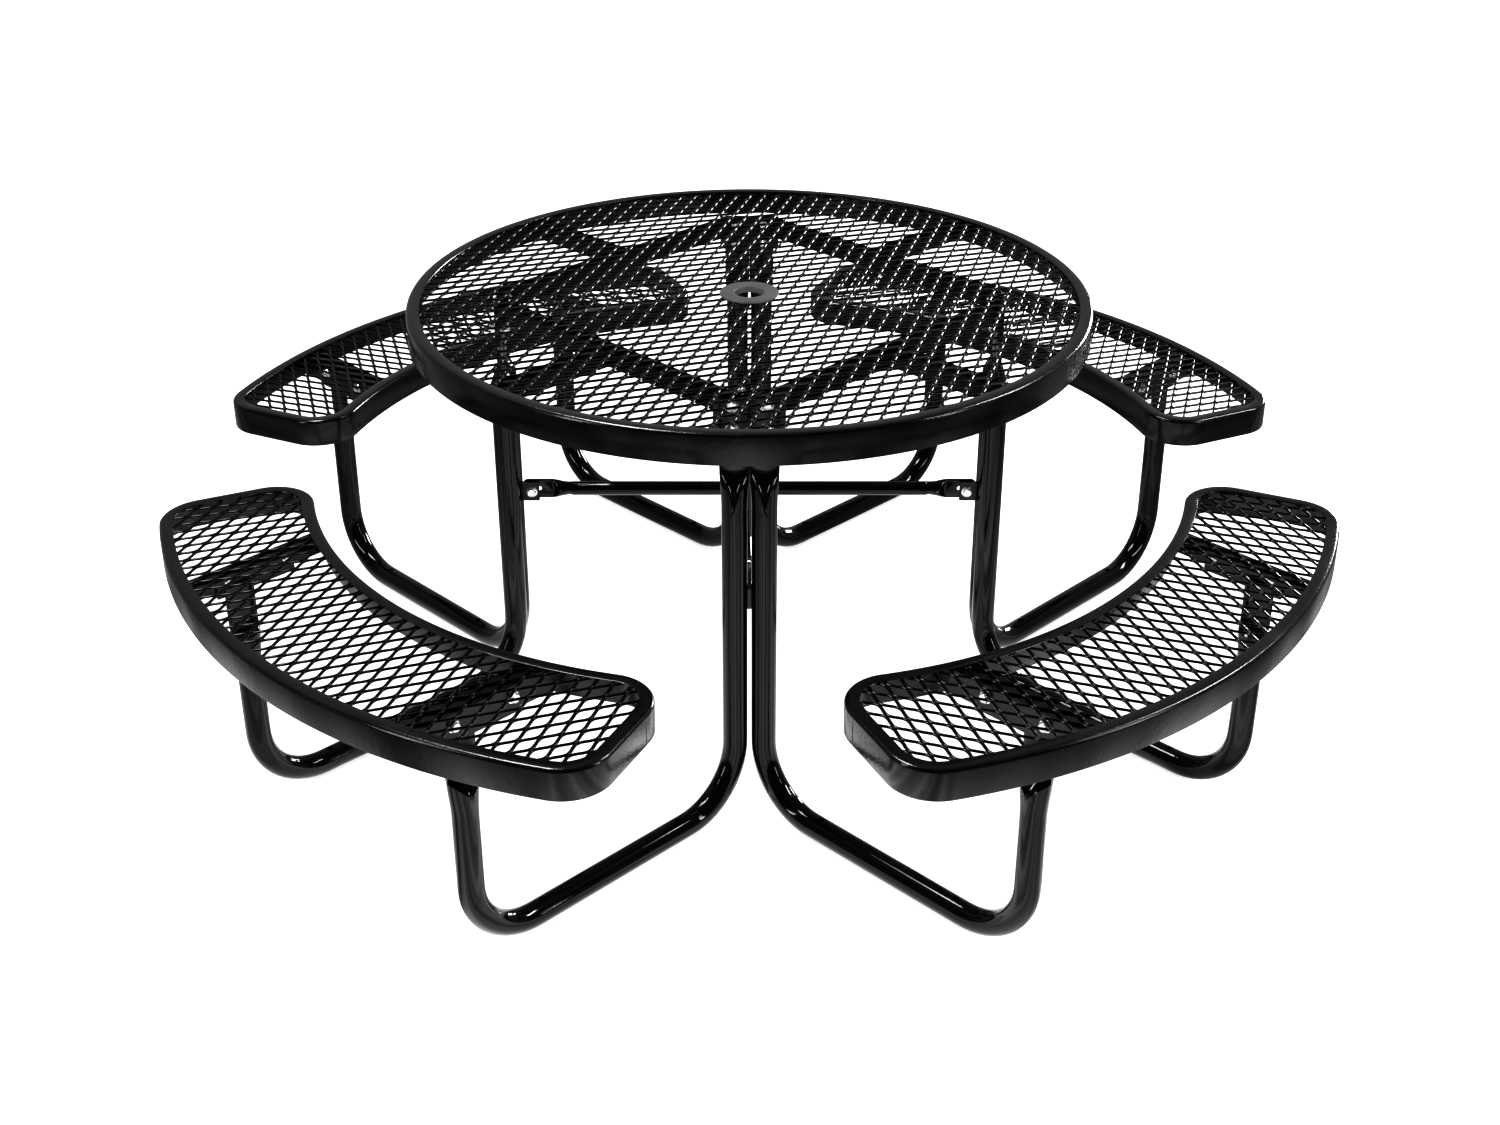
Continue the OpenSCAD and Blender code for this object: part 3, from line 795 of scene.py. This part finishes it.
def brace(node, degrees):
    """A brace beside its lugs, on the diagonal at an angle, with pressed tips and their spare holes."""
    side_step = (PAIR_GAP - 2 * TUBE_R + BRACE_FLAT_T) / 2
    low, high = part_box(node)
    z = (low[2] + high[2]) / 2
    reach = math.hypot(high[0], high[1]) - BRACE_BOX_PAST_TIP
    flat_h = high[2] - low[2]
    flat_start = reach - BRACE_FLAT_L
    crimp_start = flat_start - BRACE_CRIMP_L
    even = math.pi * DENT_POINTS / RING_POINTS
    half = []
    for x in (0, crimp_start * 0.35, crimp_start * 0.7, crimp_start - BRACE_ROUND_END):
        half.append((x, crimp_ring(even, 0, 0, 0, BRACE_R, flat_h, BRACE_FLAT_T)))
    steps = 14
    for k in range(steps + 1):
        share = k / steps
        groove = GROOVE * BRACE_R * smooth_step(6 * share)
        flatten = smooth_step((share - 0.5) / 0.5)
        dent = dent_angle(share, DENT_LATENESS)
        section = crimp_ring(dent, smooth_step(share), flatten, groove, BRACE_R, flat_h, BRACE_FLAT_T)
        half.append((crimp_start + BRACE_CRIMP_L * share, section))
    corner = BRACE_TIP_CORNER
    flat = half[-1][1]
    for k in range(8):
        angle = math.pi / 2 * k / 7
        squeeze = 1 - corner * (1 - math.cos(angle)) / (flat_h / 2)
        half.append((reach - corner + corner * math.sin(angle), [(u, v * squeeze) for u, v in flat]))
    whole = [(-x, ring) for x, ring in reversed(half[1:])] + half
    part = skin([[(x, side_step - u, v + z) for u, v in ring] for x, ring in whole])
    drill = Matrix.Rotation(math.pi / 2, 4, "X")
    holes = [Matrix.Translation((end * SPARE_HOLE_R, side_step, z)) @ drill for end in (-1, 1)]
    part = drilled(node, part, holes, BOLT_HOLE_R, 8 * BRACE_FLAT_T)
    made = moved(part, Matrix.Rotation(math.radians(degrees), 4, "Z"))
    piece(f"{node}_tube", *made, TUBE_COAT, "tube_coating", [node], crease=28)


# ---- fasteners ----

def bolt(grip):
    """A flanged hex bolt along +Z, its washer face bearing on z = 0."""
    half = HEX_AF / 2
    top = -WASHER_T - HEAD_H
    head = skin([
        hex_ring(half, -WASHER_T + 0.0004),
        hex_ring(half, -WASHER_T - 0.0002),
        hex_ring(half, top + 0.0022),
        hex_ring(half, top + 0.0014, rounded=0.35),
        round_ring(half * 0.92, top),
        round_ring(half * 0.55, top + 0.0004),
    ])
    washer = skin([
        round_ring(WASHER_R * 0.99, 0),
        round_ring(WASHER_R, -0.0004),
        round_ring(WASHER_R * 0.98, -WASHER_T * 0.55),
        round_ring(WASHER_R * 0.78, -WASHER_T),
        round_ring(half * 0.9, -WASHER_T * 1.1),
    ])
    length = grip + NUT_H + BOLT_END
    threads = int((length - grip) / THREAD_PITCH)
    rings = [round_ring(BOLT_R, -0.0005), round_ring(BOLT_R, grip)]
    for k in range(threads):
        radius = BOLT_R if k % 2 else BOLT_R - THREAD_DEPTH
        rings.append(round_ring(radius, grip + THREAD_PITCH * (k + 0.5)))
    rings.append(round_ring(BOLT_R - THREAD_RUNOUT, length))
    shank = skin(rings)
    return join([head, washer, shank])


def nut(grip):
    """A hex nut with chamfered corners, seated on z = grip."""
    half = HEX_AF / 2
    inner = BOLT_R - 0.0002
    top = grip + NUT_H
    rings = [
        round_ring(inner, grip),
        round_ring(half, grip),
        hex_ring(half, grip + 0.0009, rounded=0.3),
        hex_ring(half, grip + 0.0016),
        hex_ring(half, top - 0.0016),
        hex_ring(half, top - 0.0009, rounded=0.3),
        round_ring(half * 0.97, top),
        round_ring(inner + 0.0006, top),
        round_ring(inner, top - 0.0007),
    ]
    return skin(rings, closed=True)


def along(direction):
    """A matrix that turns +Z to a direction."""
    return Vector(direction).to_track_quat("Z", "Y").to_matrix().to_4x4()


def placed(part, place, direction, spin):
    matrix = Matrix.Translation(place) @ along(direction) @ Matrix.Rotation(spin, 4, "Z")
    return moved(part, matrix)


def top_places():
    """Bearing points and directions of the bolts that hold the legs to the corner plates."""
    outer = PAIR_R + CRUSH_T / 2
    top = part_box("top_rim")[1][2]
    for k in range(4):
        angle = math.radians(45 + 90 * k)
        out = Vector((math.cos(angle), math.sin(angle), 0))
        across = Vector((-out.y, out.x, 0))
        for side in (-TOP_BOLT_SIDE, TOP_BOLT_SIDE):
            for drop in TOP_BOLT_DROPS:
                yield out * outer + across * side + Vector((0, 0, top - drop)), -out


def seat_places():
    """Bearing points and directions of the bolts through the seat angles and leg brackets."""
    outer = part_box("seat_angle_px_a")[1][1]
    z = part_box("seat_rim_px")[1][2] - SEAT_BOLT_DROP
    for k in range(4):
        for hand in HANDS:
            matrix = turn(k) @ mirror_hand(hand)
            for r in SEAT_BOLT_RS:
                yield matrix @ Vector((r, outer, z)), matrix.to_3x3() @ Vector((0, -1, 0))


def brace_places():
    """Bearing points and directions of the bolts through the brace ends and their lugs."""
    for k in range(4):
        low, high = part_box(f"brace_lug_{SIDES[k]}")
        z = (low[2] + high[2]) / 2
        angle = math.radians(45 + 90 * k)
        out = Vector((math.cos(angle), math.sin(angle), 0))
        across = Vector((-out.y, out.x, 0)) * (-1 if k > 1 else 1)
        lug_t = PAIR_GAP - 2 * TUBE_R
        yield out * BRACE_BOLT_R - across * lug_t / 2 + Vector((0, 0, z)), across


def fasteners():
    groups = [("top", CRUSH_T + PLATE_T, top_places), ("seat", ANGLE_T + PLATE_T, seat_places),
              ("brace", PAIR_GAP - 2 * TUBE_R + BRACE_FLAT_T, brace_places)]
    for name, grip, places in groups:
        for kind, part in (("bolts", bolt(grip)), ("nuts", nut(grip))):
            parts = []
            for i, (place, direction) in enumerate(places()):
                parts.append(placed(part, place, direction, spin=0.7 * i))
            piece(f"{name}_{kind}_zinc", *join(parts), ZINC, "zinc", [f"{name}_{kind}"], crease=30)


# ---- carried-over parts ----

def ease_edges(node, width):
    """Takes the sharp edges off a CAD part and joins its flat faces."""
    obj = frame["nodes"][node]
    flat = obj.modifiers.new("join_flats", "DECIMATE")
    flat.decimate_type = "DISSOLVE"
    flat.angle_limit = math.radians(1)
    edge = obj.modifiers.new("ease", "BEVEL")
    edge.width = width
    edge.segments = 2
    edge.limit_method = "ANGLE"
    edge.angle_limit = math.radians(50)


def carried_over():
    plain = ["top_bar", "top_spoke", "corner_plate", "brace_lug"]
    nodes = [f"{part}_{side}" for part in plain for side in SIDES]
    for part in ("seat_angle", "leg_bracket"):
        nodes += [f"{part}_{side}_{hand}" for side in SIDES for hand in HANDS]
    for node in nodes:
        obj = frame["nodes"][node]
        obj.data.materials.clear()
        obj.data.materials.append(RIM_COAT)
        ease_edges(node, EASED_EDGE)


# ---- studio ----

def floor():
    half = FLOOR_HALF
    verts = [(-half, -half, 0), (half, -half, 0), (half, half, 0), (-half, half, 0)]
    mesh = bpy.data.meshes.new("studio_floor")
    mesh.from_pydata(verts, [], [(0, 1, 2, 3)])
    mesh.materials.append(studio_floor())
    obj = bpy.data.objects.new("studio_floor", mesh)
    bpy.context.collection.objects.link(obj)


def photo_place(right, away, height):
    """A place given from the camera's side: to the right of the table's middle, away from it, and up."""
    return Vector(((right - away) / math.sqrt(2), (right + away) / math.sqrt(2), height))


def softbox(name, place, target, size, radiance):
    """A lit panel that shows only in the coating, as a highlight."""
    light = bpy.data.lights.new(name, "AREA")
    light.shape = "RECTANGLE"
    light.size, light.size_y = size
    light.energy = radiance * math.pi * size[0] * size[1]
    obj = bpy.data.objects.new(name, light)
    obj.location = place
    obj.rotation_euler = (Vector(target) - Vector(place)).to_track_quat("-Z", "Y").to_euler()
    obj.visible_camera = False
    obj.visible_diffuse = False
    bpy.context.collection.objects.link(obj)


def softboxes():
    middle = (0, 0, 0.6)
    softbox("overhead", photo_place(-1.1, 0.0, 3.4), middle, size=(1.5, 0.7), radiance=40)
    softbox("right", photo_place(3.2, 0.2, 2.9), middle, size=(0.5, 1.6), radiance=45)
    softbox("back_right", photo_place(5.0, 5.9, 1.7), middle, size=(2.3, 1.9), radiance=50)
    softbox("strip_left", photo_place(-2.6, -2.0, 1.6), middle, size=(0.25, 2.2), radiance=20)
    softbox("strip_right", photo_place(2.9, -1.7, 1.6), middle, size=(0.25, 2.2), radiance=20)


def world():
    """Even white for the eye and for shading. The coating sees it pale behind the table, dark in front."""
    made = bpy.data.worlds.new("studio")
    bpy.context.scene.world = made
    made.use_nodes = True
    nodes, links = made.node_tree.nodes, made.node_tree.links
    background = nodes["Background"]
    coords = nodes.new("ShaderNodeTexCoord")
    toward = nodes.new("ShaderNodeVectorMath")
    toward.operation = "DOT_PRODUCT"
    toward.inputs[1].default_value = photo_place(0, -1, 0)
    links.new(coords.outputs["Generated"], toward.inputs[0])
    shade = remap(nodes, links, toward.outputs["Value"], low=0.38, high=0.04, start=-0.25, end=0.5)
    paths = nodes.new("ShaderNodeLightPath")
    seen = nodes.new("ShaderNodeMix")
    links.new(paths.outputs["Is Glossy Ray"], seen.inputs["Factor"])
    seen.inputs["A"].default_value = 1.3
    links.new(shade, seen.inputs["B"])
    links.new(seen.outputs["Result"], background.inputs["Strength"])
    background.inputs["Color"].default_value = (1, 1, 1, 1)


def camera():
    """Eye level over the pair of legs between the +X and -Y seats, looking down at the table."""
    distance = 3.0854
    height = 1.9235
    pitch = math.radians(25.97)
    data = bpy.data.cameras.new("camera")
    data.sensor_width = 36
    data.lens = 45.83
    data.shift_x = 0.0004
    data.shift_y = -0.0614
    obj = bpy.data.objects.new("camera", data)
    reach = distance / math.sqrt(2)
    obj.location = (reach, -reach, height)
    obj.rotation_euler = (math.pi / 2 - pitch, 0, math.radians(45))
    bpy.context.collection.objects.link(obj)
    bpy.context.scene.camera = obj


camera()
top_rim()
top_mesh()
umbrella_collar()
for k in range(4):
    seat_rim(k)
seat_mesh()
legs()
brace("brace_lower", 45)
brace("brace_upper", 135)
fasteners()
carried_over()
floor()
softboxes()
world()
bpy.context.scene.view_settings.view_transform = "Standard"
bpy.context.scene.view_settings.look = "High Contrast"
